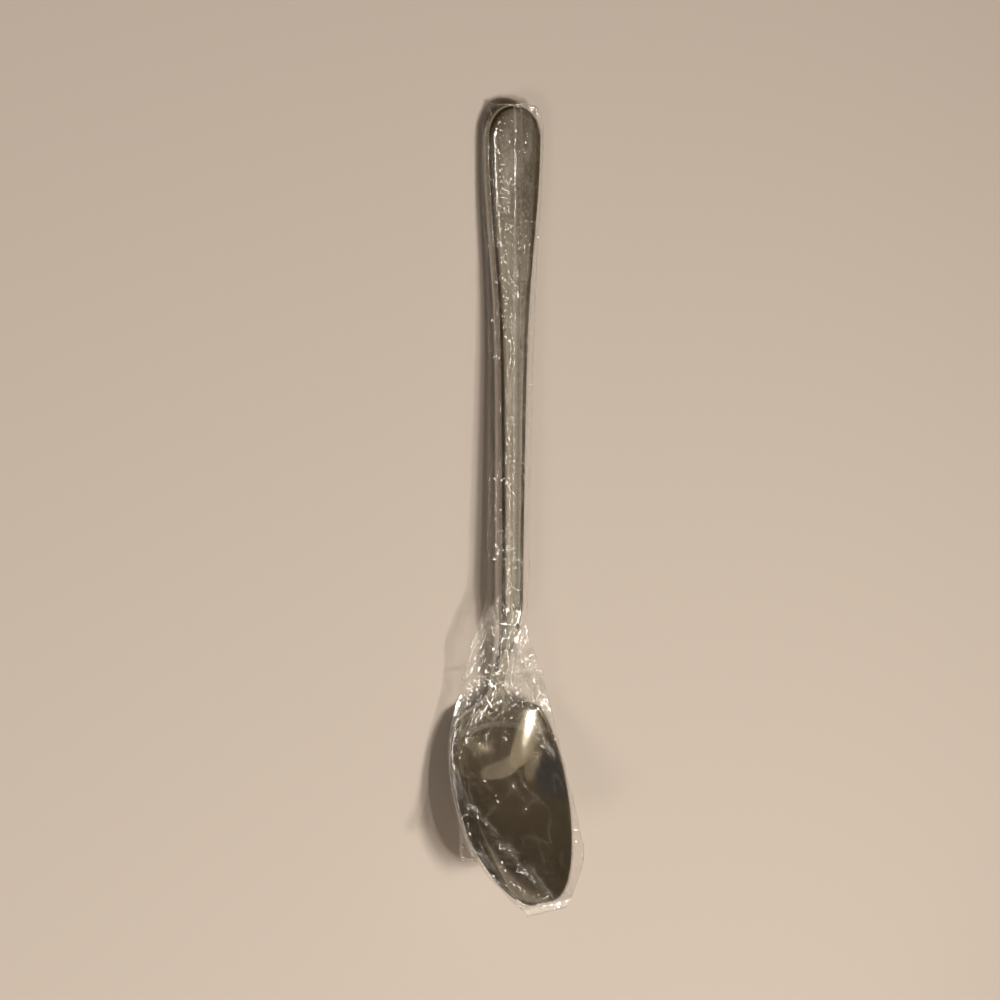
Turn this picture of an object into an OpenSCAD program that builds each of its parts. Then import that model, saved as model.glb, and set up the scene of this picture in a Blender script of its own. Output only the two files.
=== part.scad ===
// Long-handled serving spoon of polished stainless steel, lying on its back in a clear film sleeve.
// X runs along the spoon with the bowl's tip at the low end, Y across it, Z up out of the bowl.
// The underside of the sleeve rests on the plane z = 0.

/* [Bowl] */
// Length of the bowl from its heel to its tip
bowl_len = 78; // [70:1:88]
// Greatest width of the bowl
bowl_w = 55.6; // [49:0.2:62]
// Thickness of the bowl's wall at its bottom
bowl_wall = 1.8; // [1.4:0.1:2.4]
// Thickness of the bowl's wall at its rim
rim_t = 1.4; // [1:0.1:1.8]
// Height of the rim above the rest plane at the heel
rim_heel_h = 5.4; // [5.2:0.1:6.2]
// Height of the rim half way along the bowl
rim_mid_h = 16.4; // [15:0.1:18]
// Height of the rim at the tip
rim_tip_h = 37; // [33:0.5:40]

/* [Neck] */
// Length of the neck from the heel to the handle
neck_len = 26; // [22:1:32]
// Width of the neck
neck_w = 7.4; // [6.6:0.1:8.2]
// Thickness of the neck at its edges
neck_t = 3.2; // [3:0.1:3.6]
// How far the upper face of bowl and neck, and the faces of the tang, are crowned
face_crown = 0.25; // [0.15:0.05:0.4]
// Length of the tang inside the handle
tang_len = 62; // [40:1:90]
// Width of the tang
tang_w = 4.2; // [3.4:0.1:4.8]
// Thickness of the tang
tang_t = 2.4; // [1.8:0.1:2.6]

/* [Handle] */
// Length of the hollow handle
handle_len = 196; // [176:1:216]
// Greatest width of the handle near its end
handle_end_w = 25.6; // [22:0.2:29]
// Width of the handle at its narrowest, next to the neck
handle_waist_w = 11.2; // [10.6:0.2:13]
// Thickness of the handle along its stem
handle_t = 8; // [7.4:0.1:9]
// Thickness of the handle at its end
handle_end_t = 6.4; // [5.6:0.1:7.4]
// Height of the handle's centre line at the neck
shoulder_h = 10.4; // [9.4:0.2:12]
// Wall of each handle shell
shell_wall = 0.8; // [0.6:0.05:1]
// Length over which the handle closes in on the neck
shoulder_len = 7; // [5:0.5:9]
// Height of the raised rib along the middle of the front shell
rib_h = 0.45; // [0.3:0.05:0.6]
// Width of that rib
rib_w = 2.4; // [1.8:0.1:3]

/* [Sleeve] */
// Thickness of the film, drawn stouter than the real one so that it is a solid
film_t = 0.35; // [0.3:0.05:0.45]
// Gap between the film and the steel
film_gap = 0.3; // [0.25:0.05:0.4]
// How far the film stands out beyond the bowl on each side
bag_side = 3.4; // [2.5:0.1:5]
// How far the sealed end reaches past the bowl's tip
seal_len = 3; // [2.5:0.5:5]
// Width of the sealed end
seal_w = 20; // [14:1:24]
// Width of the flattened sleeve along the handle's stem
sleeve_stem_w = 18.4; // [17:0.2:21]
// How far the open mouth reaches past the handle's end
mouth_len = 1; // [0.5:0.5:3]

/* [Hidden] */

// Clearance between the pieces that are bonded inside the handle
seat_gap = 0.12;
// Where the filler starts inside the mouth of the shells and where it ends short of the handle's end
filler_inset = 2;
filler_end_gap = 17;
// How far the filler's pocket reaches past the end of the tang
pocket_past = 0.5;
// Sizes of the bolster where neck and shells meet
bolster_w = neck_w + 2 * shell_wall;
bolster_t = neck_t + 2 * shell_wall;
// Length over which the neck thickens into the bolster
bolster_len = 8;
// Length of the rounded end of the handle
end_round_len = 13.5;
// Length over which the rib fades out at the end of the handle
rib_fade_len = 30;
// Length that is cut from the very tip of the rim, which leaves it blunt
tip_land_len = 0.35;
// Solid film at the very end of the seal
seal_land_len = 1;
// How far the underside of the sleeve hangs below its closest fit, which makes its rest patches flat
rest_dip = 0.45;

// Positions along X, counted from the bowl's tip
heel_x = bowl_len;
shoulder_x = bowl_len + neck_len;
spoon_len = shoulder_x + handle_len;
rest_h = film_t + film_gap;
end_h = rest_h + handle_end_t / 2;
overall_len = seal_len + spoon_len + mouth_len;
origin_x = overall_len / 2 - seal_len;

// How the bowl's outline is skewed towards the heel, and how full it is
plan_skew_share = 0.88;
plan_full_share = 0.39;
// Length of the flare from the neck into the bowl, as a share of the bowl
flare_share = 0.13;
// Where the bowl's underside is lowest, from the tip, as a share of the bowl
low_share = 0.63;
// How fast the underside rises towards the tip and towards the heel
tip_rise_share = 2.05;
heel_rise_share = 2.2;
// How round the bowl's cross-section is
bowl_section_share = 2.5;
// How square the handle's and the film's cross-sections are
handle_square_share = 2.8;
film_square_share = 3;
bag_square_share = 9;
bag_belly_share = 2.3;
fin_share = 2.6;
// How full the rounding of the handle's end is, and how much of it the mouth of the sleeve follows
end_full_share = 2.2;
mouth_round_share = 0.5;

// Half-width of the handle along its length, as shares of the way from the waist to the end's width
handle_plan_shares = [
    [0, 0], [0.12, 0.01], [0.25, 0.04], [0.37, 0.08], [0.47, 0.13], [0.55, 0.2], [0.62, 0.3],
    [0.7, 0.5], [0.78, 0.74], [0.85, 0.91], [0.91, 0.99], [0.95, 1], [1, 0.99]
];
// Half-width of the sleeve from the tip to the shoulder: share of the bowl's and neck's length,
// share of the bag's half-width
bag_plan_shares = [
    [0, 0.4], [0.04, 0.55], [0.1, 0.75], [0.16, 0.91], [0.2, 1], [0.3, 0.98], [0.44, 0.94],
    [0.55, 0.91], [0.66, 0.85], [0.76, 0.69], [0.87, 0.55], [1, 0.385]
];
// Where the film starts to span from the bowl to the handle, as a share of the bowl, how far past
// the shoulder it comes down on the handle, and how taut it is
span_from_share = 0.8;
span_past = 14;
span_taut_share = 0.75;
// Folds that fan out from where the sleeve is gathered: height, half-width, and for each fold its
// places across the sleeve at the gather and at the far end, as shares of the half-width
fold_h = 1.3;
fold_half_w = 2.6;
fold_shares = [[0.35, -0.72], [0.75, 0.8]];

// Counts
bowl_stations = 40;
bowl_points = 18;
neck_stations = 6;
shoulder_stations = 4;
stem_stations = 21;
end_stations = 8;
handle_points = 16;
seal_stations = 4;
film_stations = 40;
film_points = 22;
filler_stations = 14;
filler_points = 10;

function clamp01(t) = max(0, min(1, t));
function smooth(t) = let (c = clamp01(t)) c * c * (3 - 2 * c);
function mix(a, b, t) = a + (b - a) * t;
// A smooth curve through points given as [place, value], level at both ends
function slope(p, i) =
    (i == 0 || i == len(p) - 1) ? 0 : (p[i + 1][1] - p[i - 1][1]) / (p[i + 1][0] - p[i - 1][0]);
function curve_in(p, x, i) =
    let (w = p[i + 1][0] - p[i][0], t = (x - p[i][0]) / w)
    (2 * t * t * t - 3 * t * t + 1) * p[i][1] + (t * t * t - 2 * t * t + t) * w * slope(p, i)
    + (3 * t * t - 2 * t * t * t) * p[i + 1][1] + (t * t * t - t * t) * w * slope(p, i + 1);
function curve(p, x, i = 0) =
    x <= p[0][0] ? p[0][1]
    : i >= len(p) - 1 ? p[len(p) - 1][1]
    : x <= p[i + 1][0] ? curve_in(p, x, i)
    : curve(p, x, i + 1);
// Stations from a to b that crowd towards both ends
function crowd(a, b, n) = [for (i = [0:n - 1]) mix(a, b, (1 - cos(180 * i / (n - 1))) / 2)];
// Places across a section from 1 to -1, crowded towards the edges
function across(n) = [for (i = [0:n - 1]) cos(180 * i / (n - 1))];

// The bowl: share is 0 at the heel and 1 at the tip
function bowl_at(x) = clamp01((bowl_len - x) / bowl_len);
function egg(x) =
    bowl_w / 2 * pow(max(0, sin(180 * pow(bowl_at(x), plan_skew_share))), plan_full_share);
function bolster_at(x) = smooth((x - shoulder_x + bolster_len) / bolster_len);
function neck_half(x) = mix(neck_w, bolster_w, bolster_at(x)) / 2;
function neck_depth(x) = mix(neck_t, bolster_t, bolster_at(x));
function bowl_half(x) =
    x >= heel_x ? neck_half(x) : mix(neck_w / 2, egg(x), smooth(bowl_at(x) / flare_share));
function rim_in_bowl(s) =
    rim_heel_h * (1 - s) * (1 - 2 * s) + rim_mid_h * 4 * s * (1 - s) + rim_tip_h * s * (2 * s - 1);
function neck_top(x) =
    mix(rim_heel_h, shoulder_h + neck_depth(x) / 2, smooth((x - heel_x) / neck_len));
function rim_h(x) = x >= heel_x ? neck_top(x) : rim_in_bowl(bowl_at(x));
function low_x() = low_share * bowl_len;
function floor_in_bowl(x) =
    x < low_x()
    ? rest_h + (rim_tip_h - rim_t - rest_h) * pow((low_x() - x) / low_x(), tip_rise_share)
    : rest_h + (rim_heel_h - neck_t - rest_h)
        * pow((x - low_x()) / (bowl_len - low_x()), heel_rise_share);
function floor_h(x) = x >= heel_x ? neck_top(x) - neck_depth(x) : floor_in_bowl(x);
function wall_h(x) =
    x >= heel_x ? neck_depth(x)
    : min(mix(neck_t, bowl_wall - face_crown, smooth(bowl_at(x) / flare_share)), rim_h(x) - floor_h(x));
function bowl_round(t) = 1 - pow(abs(t), bowl_section_share);
function bowl_top(x, t) =
    rim_h(x) + face_crown * (1 - t * t) - (rim_h(x) - floor_h(x) - wall_h(x)) * bowl_round(t);
function bowl_under(x, t) =
    rim_h(x) - rim_t - (rim_h(x) - rim_t - floor_h(x)) * bowl_round(t);
function bowl_loop(x) = concat(
    [for (t = across(bowl_points)) [x, t * bowl_half(x), bowl_top(x, t)]],
    [for (t = across(bowl_points)) [x, -t * bowl_half(x), bowl_under(x, -t)]]
);

// The handle: share is 0 at the shoulder and 1 at the end
function handle_at(x) = clamp01((x - shoulder_x) / handle_len);
function handle_mid(x) = mix(shoulder_h, end_h, handle_at(x));
function handle_plan(x) = mix(handle_waist_w, handle_end_w, curve(handle_plan_shares, handle_at(x))) / 2;
function end_round(x, end_x, len) =
    pow(max(0, 1 - pow(clamp01((x - end_x + len) / len), end_full_share)), 1 / end_full_share);
function shoulder_at(x) = smooth((x - shoulder_x) / shoulder_len);
function handle_half(x) =
    mix(bolster_w / 2, handle_plan(x), shoulder_at(x)) * end_round(x, spoon_len, end_round_len);
function stem_half(x) = mix(handle_t, handle_end_t, smooth(handle_at(x))) / 2;
function handle_thick(x) =
    mix(bolster_t / 2, stem_half(x), shoulder_at(x)) * sqrt(end_round(x, spoon_len, end_round_len));
function squareness(t, n) = pow(max(0, 1 - pow(abs(t), n)), 1 / n);
function rib(x, y) =
    rib_h * smooth((x - shoulder_x) / shoulder_len) * smooth((spoon_len - x) / rib_fade_len)
    * smooth((rib_w - abs(y)) / (rib_w / 2));
// One half of the handle's section, side 1 in front and -1 behind, shrunk by inset
function handle_arc(x, side, inset) =
    let (a = max(seat_gap, handle_half(x) - inset), b = max(seat_gap, handle_thick(x) - inset))
    [for (t = across(handle_points))
        [x, t * a, handle_mid(x) + side * b * squareness(t, handle_square_share)
            + (side > 0 && inset == 0 ? rib(x, t * a) : 0)]];
// A closed section of half-width a and half-thickness b about the handle's centre line
function ring_loop(x, a, b, square, n) =
    concat(
        [for (t = across(n)) [x, -t * a, handle_mid(x) + b * squareness(t, square)]],
        [for (i = [1:n - 2]) let (t = across(n)[i])
            [x, t * a, handle_mid(x) - b * squareness(t, square)]]
    );

// The sleeve: a flat bag round the bowl that is drawn in to the handle at the shoulder
function bag_half() = bowl_w / 2 + bag_side;
function bag_plan(x) = bag_half() * curve(bag_plan_shares, clamp01(x / shoulder_x));
function widen_at(x) = curve(handle_plan_shares, handle_at(x));
function mouth_at(x) = clamp01((x - spoon_len + end_round_len) / (end_round_len + mouth_len));
function stem_bag(x) =
    mix(sleeve_stem_w / 2, handle_end_w / 2 + rest_h + film_gap, widen_at(x))
    * sqrt(1 - pow(mouth_round_share * mouth_at(x), 2));
function sleeve_half(x) =
    x < 0 ? mix(seal_w / 2, bag_plan(0), sqrt(clamp01(1 + x / seal_len)))
    : x < shoulder_x ? bag_plan(x)
    : mix(bag_plan(shoulder_x), stem_bag(x), smooth((x - shoulder_x) / bolster_len));
function in_bag(x) = 1 - smooth((x - heel_x) / neck_len);
function snug_top(x) =
    x < 0 ? mix(rim_tip_h, rim_tip_h + 2 * rest_h, clamp01(1 + x / seal_len))
    : x < heel_x ? rim_h(x) + 2 * rest_h
    : mix(rim_h(x) + 2 * rest_h, handle_mid(x) + stem_half(x) + rib_h + rest_h,
        smooth((x - heel_x) / neck_len));
function span_from() = span_from_share * bowl_len;
function span_at(x) = clamp01((x - span_from()) / (shoulder_x + span_past - span_from()));
function taut_top(x) = mix(snug_top(span_from()), snug_top(shoulder_x + span_past), span_at(x));
function sleeve_top(x) =
    span_at(x) > 0 && span_at(x) < 1
    ? mix(snug_top(x), max(snug_top(x), taut_top(x)), span_taut_share) : snug_top(x);
function fold(x, y) =
    fold_h * smooth(4 * span_at(x)) * smooth(4 * (1 - span_at(x)))
    * max([for (f = fold_shares)
        clamp01(1 - abs(y - sleeve_half(x) * mix(f[1], f[0], span_at(x))) / fold_half_w)]);
// The bowl's underside as the film follows it, eased towards the tip where the underside is steep
function film_floor(x) =
    floor_in_bowl(x < low_x() ? min(low_x(), x + 2 * rest_h) : min(x, heel_x)) - rest_h;
function sleeve_low(x) =
    x < 0 ? mix(rim_tip_h - rim_t, film_floor(0) - rest_h, clamp01(1 + x / seal_len))
    : mix(film_floor(x), handle_mid(x) - stem_half(x) - rest_h, smooth((x - heel_x) / neck_len))
        - rest_dip;
function sleeve_edge(x) =
    mix(handle_mid(x), (x < 0 ? rim_tip_h : rim_in_bowl(bowl_at(x))) - rim_t / 2, in_bag(x));
// Flattened to a fin on each side of the stem and snug round the wide end
function stem_section(x, t) =
    mix(1 - pow(abs(t), fin_share), squareness(t, film_square_share), clamp01(2 * widen_at(x)));
function bag_over(x, t) = mix(stem_section(x, t), squareness(t, bag_square_share), in_bag(x));
function bag_under(x, t) = mix(stem_section(x, t), 1 - pow(abs(t), bag_belly_share), in_bag(x));
function sleeve_loop(x, inset) =
    let (
        a = sleeve_half(x) - inset, edge = sleeve_edge(x),
        up = max(inset / 2, sleeve_top(x) - inset - edge),
        down = max(inset / 2, edge - sleeve_low(x) - inset),
        ts = across(film_points)
    )
    concat(
        [for (t = ts) [x, t * a, edge + up * bag_over(x, t) + fold(x, t * a)]],
        [for (i = [1:film_points - 2]) let (t = -ts[i])
            [x, t * a, max(inset, edge - down * bag_under(x, t))]]
    );

// Faces between loop i and loop i + 1 of m points each, the first loop starting at point base
function band(base, m, i, closed, out) =
    [for (j = [0:(closed ? m - 1 : m - 2)])
        let (a = base + i * m + j, b = base + i * m + (j + 1) % m, c = b + m, d = a + m)
        each out ? [[a, c, b], [a, d, c]] : [[a, b, c], [a, c, d]]];
function bands(base, n, m, closed, out) = [for (i = [0:n - 2]) each band(base, m, i, closed, out)];
function cap(base, m, out) = [[for (j = [0:m - 1]) base + (out ? m - 1 - j : j)]];
// Ring between two loops of m points that start at points p and q
function ring(p, q, m, closed, out) =
    [for (j = [0:(closed ? m - 1 : m - 2)])
        let (k = (j + 1) % m)
        each out ? [[p + j, q + k, q + j], [p + j, p + k, q + k]]
            : [[p + j, q + j, q + k], [p + j, q + k, p + k]]];

// A solid through closed loops
module loft(loops) {
    n = len(loops);
    m = len(loops[0]);
    polyhedron(
        points = [for (l = loops) each l],
        faces = concat(bands(0, n, m, true, true), cap(0, m, false), cap((n - 1) * m, m, true))
    );
}

// A tube with a wall between outer and inner loops, open at the last loop and shut at the first
module blind_tube(outer, inner) {
    n = len(outer);
    m = len(outer[0]);
    polyhedron(
        points = [for (l = concat(outer, inner)) each l],
        faces = concat(
            bands(0, n, m, true, true),
            bands(n * m, n, m, true, false),
            cap(0, m, false),
            cap(n * m, m, true),
            ring((n - 1) * m, (2 * n - 1) * m, m, true, false)
        )
    );
}

// Half a tube between outer and inner arcs, open at the first arc and shut at the last
module half_tube(outer, inner, front) {
    n = len(outer);
    m = len(outer[0]);
    q = n * m;
    polyhedron(
        points = [for (l = concat(outer, inner)) each l],
        faces = concat(
            bands(0, n, m, false, front),
            bands(q, n, m, false, !front),
            ring(0, q, m, false, front),
            cap((n - 1) * m, m, front),
            cap(q + (n - 1) * m, m, !front),
            [for (i = [0:n - 2]) each seam(i * m, q + i * m, m, !front)],
            [for (i = [0:n - 2]) each seam(i * m + m - 1, q + i * m + m - 1, m, front)],
            front ? [[q - m, 2 * q - 1, q - 1], [q - m, 2 * q - m, 2 * q - 1]]
                : [[q - m, q - 1, 2 * q - 1], [q - m, 2 * q - 1, 2 * q - m]]
        )
    );
}
function seam(a, b, m, out) =
    out ? [[a, b + m, b], [a, a + m, b + m]] : [[a, b, b + m], [a, b + m, a + m]];

handle_xs = concat(
    [for (i = [0:shoulder_stations - 1])
        mix(shoulder_x, shoulder_x + shoulder_len, i / shoulder_stations)],
    [for (i = [0:stem_stations])
        mix(shoulder_x + shoulder_len, spoon_len - end_round_len, i / stem_stations)],
    [for (i = [1:end_stations])
        spoon_len - end_round_len + (end_round_len - seat_gap) * sin(90 * i / end_stations)]
);
function inner_x(x) = mix(shoulder_x, spoon_len - shell_wall, (x - shoulder_x) / handle_len);

// Bowl, neck and tang, forged and pressed as one piece of stainless steel
module bowl() {
    bowl_xs = crowd(tip_land_len, heel_x, bowl_stations);
    neck_xs = [for (i = [1:neck_stations]) mix(heel_x, shoulder_x - seat_gap, i / neck_stations)];
    tang_xs = [shoulder_x - seat_gap, shoulder_x + tang_len];
    color("silver")
    translate([-origin_x, 0, 0])
    loft(concat(
        [for (x = concat(bowl_xs, neck_xs)) bowl_loop(x)],
        [for (x = tang_xs) tang_loop(x)]
    ));
}
function tang_loop(x) = concat(
    [for (t = across(bowl_points)) [x, t * tang_w / 2, handle_mid(x) + tang_half(t)]],
    [for (t = across(bowl_points)) [x, -t * tang_w / 2, handle_mid(x) - tang_half(t)]]
);
function tang_half(t) = tang_t / 2 - face_crown * t * t;

module handle_shell(side) {
    translate([-origin_x, 0, 0])
    half_tube(
        [for (x = handle_xs) handle_arc(x, side, 0)],
        [for (x = handle_xs) inner_arc(x, side)],
        side > 0
    );
}
// The inner arc is the section one wall in, ending one wall short of the handle's end
function inner_arc(x, side) =
    let (arc = handle_arc(x, side, shell_wall))
    [for (p = arc) [inner_x(x), p[1], p[2]]];

// Pressed front half of the hollow handle, with a slim rib along its middle
module handle_front_shell() {
    color("gainsboro") handle_shell(1);
}

// Pressed back half of the hollow handle
module handle_back_shell() {
    color("darkgray") handle_shell(-1);
}

// Cement that holds the tang inside the hollow handle
module handle_filler() {
    inset = shell_wall + seat_gap;
    start_x = shoulder_x + filler_inset;
    outer_xs = [for (i = [0:filler_stations - 1])
        mix(spoon_len - filler_end_gap, start_x, i / (filler_stations - 1))];
    inner_xs = [for (i = [0:filler_stations - 1])
        mix(shoulder_x + tang_len + pocket_past, start_x, i / (filler_stations - 1))];
    color("tan")
    translate([-origin_x, 0, 0])
    blind_tube(
        [for (x = outer_xs)
            ring_loop(x, handle_half(x) - inset, handle_thick(x) - inset, handle_square_share, filler_points)],
        [for (x = inner_xs)
            ring_loop(x, tang_w / 2 + 2 * seat_gap, tang_t / 2 + 2 * seat_gap, bag_square_share, filler_points)]
    );
}

// Clear film sleeve, sealed past the bowl's tip and open past the handle's end
module film_sleeve() {
    open_x = spoon_len + mouth_len;
    xs = concat(
        [for (i = [0:seal_stations - 1]) mix(-seal_len, 0, i / seal_stations)],
        [for (i = [0:film_stations]) mix(0, open_x, i / film_stations)]
    );
    inner_xs = [for (x = xs) mix(seal_land_len - seal_len, open_x, (x + seal_len) / overall_len)];
    color("aliceblue", 0.3)
    translate([-origin_x, 0, 0])
    blind_tube([for (x = xs) sleeve_loop(x, 0)], [for (x = inner_xs) sleeve_loop(x, film_t)]);
}

bowl();
handle_front_shell();
handle_back_shell();
handle_filler();
film_sleeve();
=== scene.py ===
"""Dresses a long serving spoon of polished steel that lies on its back in a clear film sleeve.

X runs along the spoon, Y across it, Z up out of the bowl. Lengths are in millimetres until a mesh
is made. Places along X are counted from the bowl's tip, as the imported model's sizes are.
"""
import math

import bmesh
import bpy
import numpy as np
from mathutils import Matrix, Vector


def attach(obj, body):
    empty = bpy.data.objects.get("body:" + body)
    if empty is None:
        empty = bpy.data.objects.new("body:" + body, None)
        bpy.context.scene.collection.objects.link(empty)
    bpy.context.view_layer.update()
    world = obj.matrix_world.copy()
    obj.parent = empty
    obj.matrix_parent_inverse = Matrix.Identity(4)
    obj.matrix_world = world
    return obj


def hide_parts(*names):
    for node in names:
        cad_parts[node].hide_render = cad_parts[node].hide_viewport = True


MM = 0.001
TIP_AT = -149.0  # the tip's place in the shared frame
LATTICE = 512  # cells of the random lattice before it repeats

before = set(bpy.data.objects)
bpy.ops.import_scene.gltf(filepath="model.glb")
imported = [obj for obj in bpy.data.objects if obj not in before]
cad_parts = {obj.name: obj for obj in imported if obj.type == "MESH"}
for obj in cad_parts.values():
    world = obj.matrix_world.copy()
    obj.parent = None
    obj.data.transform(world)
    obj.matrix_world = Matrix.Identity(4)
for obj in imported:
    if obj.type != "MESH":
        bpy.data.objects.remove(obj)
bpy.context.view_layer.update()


# ---------------------------------------------------------------- small shaping helpers

def ease(t):
    """Rises smoothly from 0 to 1 as t goes from 0 to 1, level at both ends."""
    t = np.clip(t, 0, 1)
    return t * t * (3 - 2 * t)


def mix(a, b, t):
    """a where t is 0, b where t is 1."""
    return a + (b - a) * t


def through(table, x):
    """A smooth curve through rows of (place, value), level at both ends, as cubic pieces."""
    p = np.asarray(table, float)
    k, v = p[:, 0], p[:, 1]
    m = np.zeros(len(k))
    m[1:-1] = (v[2:] - v[:-2]) / (k[2:] - k[:-2])
    x = np.clip(x, k[0], k[-1])
    i = np.clip(np.searchsorted(k, x, side="right") - 1, 0, len(k) - 2)
    w = k[i + 1] - k[i]
    t = (x - k[i]) / w
    return ((2 * t**3 - 3 * t**2 + 1) * v[i] + (t**3 - 2 * t**2 + t) * w * m[i]
            + (3 * t**2 - 2 * t**3) * v[i + 1] + (t**3 - t**2) * w * m[i + 1])


def lattice(seed):
    """Random values from -1 to 1 at whole places, as a function of the two place numbers."""
    table = np.random.default_rng(seed).uniform(-1, 1, (LATTICE, LATTICE))
    return lambda a, b: table[a % LATTICE, b % LATTICE]


def noise(u, v, seed):
    """Smooth noise from -1 to 1: random values on a square lattice, blended with ease."""
    at = lattice(seed)
    iu, iv = np.floor(u).astype(int), np.floor(v).astype(int)
    fu, fv = ease(u - iu), ease(v - iv)
    return mix(mix(at(iu, iv), at(iu + 1, iv), fu), mix(at(iu, iv + 1), at(iu + 1, iv + 1), fu), fv)


def facets(u, v, seed):
    """Crumpled film from -1 to 1: random heights on a triangle lattice joined by flat facets,
    after the lattice is bent by smooth noise so that no crease runs straight for long."""
    bend, slow = 0.75, 0.6
    u, v = (u + bend * noise(u * slow, v * slow, seed + 1),
            v + bend * noise(u * slow, v * slow, seed + 2))
    skew = 0.366  # turns squares into pairs of even-sided triangles
    s = (u + v) * skew
    iu, iv = np.floor(u + s).astype(int), np.floor(v + s).astype(int)
    fu, fv = u + s - iu, v + s - iv
    at = lattice(seed)
    a, b, d = at(iu, iv), at(iu + 1, iv + 1), np.where(fu > fv, at(iu + 1, iv), at(iu, iv + 1))
    hi, lo = np.maximum(fu, fv), np.minimum(fu, fv)
    return a * (1 - hi) + d * (hi - lo) + b * lo


def edge_distance(x, y, outline):
    """Least distance from each point to a closed outline, segment by segment."""
    a = np.asarray(outline, float)
    b = np.roll(a, -1, 0)
    px, py = x.ravel(), y.ravel()
    least = np.empty(px.size)
    ab = b - a
    length2 = np.maximum((ab**2).sum(1), 1e-12)
    batch = 4000
    for lo in range(0, px.size, batch):
        qx, qy = px[lo:lo + batch, None], py[lo:lo + batch, None]
        t = np.clip(((qx - a[:, 0]) * ab[:, 0] + (qy - a[:, 1]) * ab[:, 1]) / length2, 0, 1)
        d2 = (qx - a[:, 0] - t * ab[:, 0])**2 + (qy - a[:, 1] - t * ab[:, 1])**2
        least[lo:lo + batch] = np.sqrt(d2.min(1))
    return least.reshape(x.shape)


def grid_normals(p):
    """Unit normals of a grid of points, from the cross product of its two directions."""
    n = np.cross(np.gradient(p, axis=1), np.gradient(p, axis=0))
    return n / np.maximum(np.linalg.norm(n, axis=2, keepdims=True), 1e-12)


def make_mesh(name, points, faces, values=None):
    """A smooth mesh from points in millimetres and quads, with double points merged, poles closed and
    faces outward. A triangle is a quad whose last corner is given twice. values are amounts by point
    that the materials read."""
    mesh = bpy.data.meshes.new(name)
    pts = np.array(points, float).reshape(-1, 3)
    pts[:, 0] += TIP_AT
    quads = np.asarray(faces, np.int32).reshape(-1, 4)
    three = quads[:, 2] == quads[:, 3]
    quads, tris = quads[~three], quads[three][:, :3]
    corners = np.concatenate([quads.ravel(), tris.ravel()])
    starts = np.concatenate([np.arange(len(quads)) * 4, quads.size + np.arange(len(tris)) * 3])
    mesh.vertices.add(len(pts))
    mesh.vertices.foreach_set("co", (pts * MM).astype(np.float32).ravel())
    mesh.loops.add(len(corners))
    mesh.loops.foreach_set("vertex_index", corners.astype(np.int32))
    mesh.polygons.add(len(starts))
    mesh.polygons.foreach_set("loop_start", starts.astype(np.int32))
    mesh.update(calc_edges=True)
    for key, value in (values or {}).items():
        layer = mesh.attributes.new(key, "FLOAT", "POINT")
        layer.data.foreach_set("value", np.asarray(value, np.float32))
    bm = bmesh.new()
    bm.from_mesh(mesh)
    bmesh.ops.remove_doubles(bm, verts=bm.verts, dist=2e-7)
    bmesh.ops.dissolve_degenerate(bm, edges=bm.edges, dist=1e-7)
    bmesh.ops.recalc_face_normals(bm, faces=bm.faces)
    if bm.calc_volume(signed=True) < 0:
        bmesh.ops.reverse_faces(bm, faces=bm.faces)
    bm.to_mesh(mesh)
    bm.free()
    mesh.polygons.foreach_set("use_smooth", np.ones(len(mesh.polygons), bool))
    mesh.validate()
    obj = bpy.data.objects.new(name, mesh)
    bpy.context.scene.collection.objects.link(obj)
    return obj


def sheet_faces(rows, cols, base=0, flip=False):
    """Quads of a grid of rows by cols points that starts at point base."""
    i, j = np.meshgrid(np.arange(rows - 1), np.arange(cols - 1), indexing="ij")
    a = base + i * cols + j
    quads = np.stack([a, a + 1, a + cols + 1, a + cols], -1).reshape(-1, 4)
    return quads[:, ::-1] if flip else quads


def shell(name, over, under, values=None):
    """A closed piece between two grids of the same size whose edges meet or are joined by a wall."""
    rows, cols = over.shape[:2]
    n = rows * cols
    i, j = np.arange(rows - 1), np.arange(cols - 1)
    wall = lambda a, b: np.stack([a, b, b + n, a + n], -1)
    faces = np.concatenate([
        sheet_faces(rows, cols), sheet_faces(rows, cols, n, True),
        wall(j + 1, j), wall((rows - 1) * cols + j, (rows - 1) * cols + j + 1),
        wall(i * cols, (i + 1) * cols), wall((i + 1) * cols + cols - 1, i * cols + cols - 1)])
    points = np.concatenate([over.reshape(-1, 3), under.reshape(-1, 3)])
    return make_mesh(name, points, faces, values)


def crowded(n):
    """n places from -1 to 1, crowded towards both ends."""
    return -np.cos(np.linspace(0, math.pi, n))


# ---------------------------------------------------------------- sizes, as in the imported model

BOWL_LEN, BOWL_W, BOWL_WALL, RIM_T = 78.0, 55.6, 1.8, 1.4
RIM_HEEL, RIM_MID, RIM_TIP = 5.4, 16.4, 37.0
NECK_LEN, NECK_W, NECK_T = 26.0, 7.4, 3.2
TANG_LEN, TANG_W, TANG_T = 62.0, 4.2, 2.4
HANDLE_LEN, END_W, WAIST_W, STEM_T, END_T = 196.0, 25.6, 11.2, 8.0, 6.4
SHOULDER_Z, SHELL_WALL, SHOULDER_LEN, END_ROUND = 10.4, 0.8, 7.0, 13.5
REST = 0.65  # lowest place of the steel, on the film
FIT = 0.12  # play between the forging and the handle's shells
SHOULDER = BOWL_LEN + NECK_LEN
SPOON_LEN = SHOULDER + HANDLE_LEN
LOW = 0.63 * BOWL_LEN  # where the bowl touches down
END_Z = REST + END_T / 2
TONGUE_END, TONGUE_HALF = 67.0, 3.7  # of the raised tongue that runs into the bowl
TANG_ROWS = 13
HANDLE_PLAN = [(0, 0), (.12, .01), (.25, .04), (.37, .08), (.47, .13), (.55, .2), (.62, .3),
               (.7, .5), (.78, .74), (.85, .91), (.91, .99), (.95, 1), (1, .99)]


# ---------------------------------------------------------------- the bowl and neck

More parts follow.
